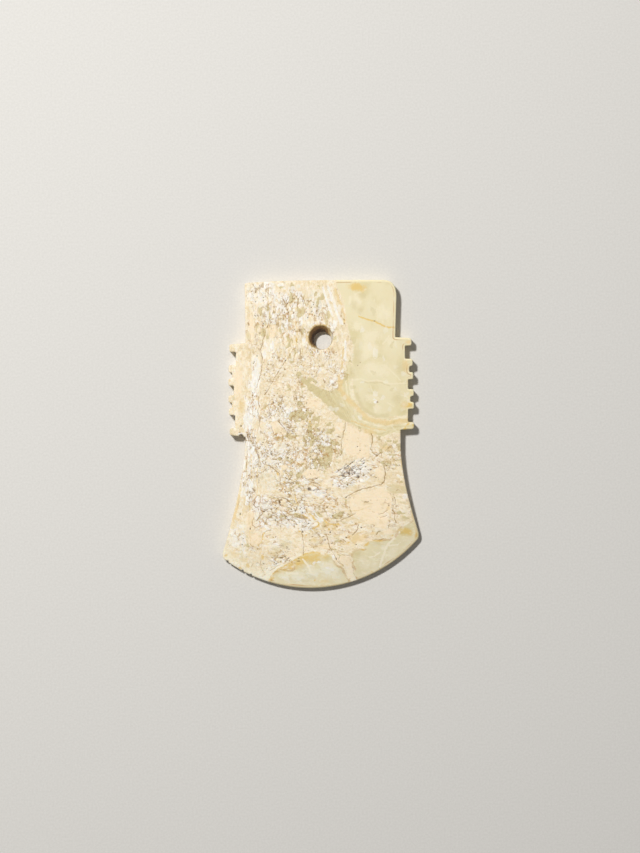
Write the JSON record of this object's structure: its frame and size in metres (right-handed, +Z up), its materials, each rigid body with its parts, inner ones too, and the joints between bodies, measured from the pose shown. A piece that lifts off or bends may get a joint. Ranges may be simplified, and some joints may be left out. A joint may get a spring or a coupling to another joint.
{
  "type": "jade axe head",
  "caption": "Flat ceremonial axe head of pale jade with notched side flanges, a flared convex cutting edge and a drilled lashing hole.",
  "frame": {"origin": "on the surface it lies on, under the middle of its bounding box", "axes": "+Y from the cutting edge to the butt, +Z up out of the upper face, +X to the right when seen from above with the butt away"},
  "size_m": [0.0764, 0.12, 0.0056],
  "materials": {
    "jade": "polished altered jade: opaque cream with white and tan mottling, clear pale green in patches"
  },
  "bodies": {
    "root": {"axe_head": "jade"}
  },
  "joints": []
}
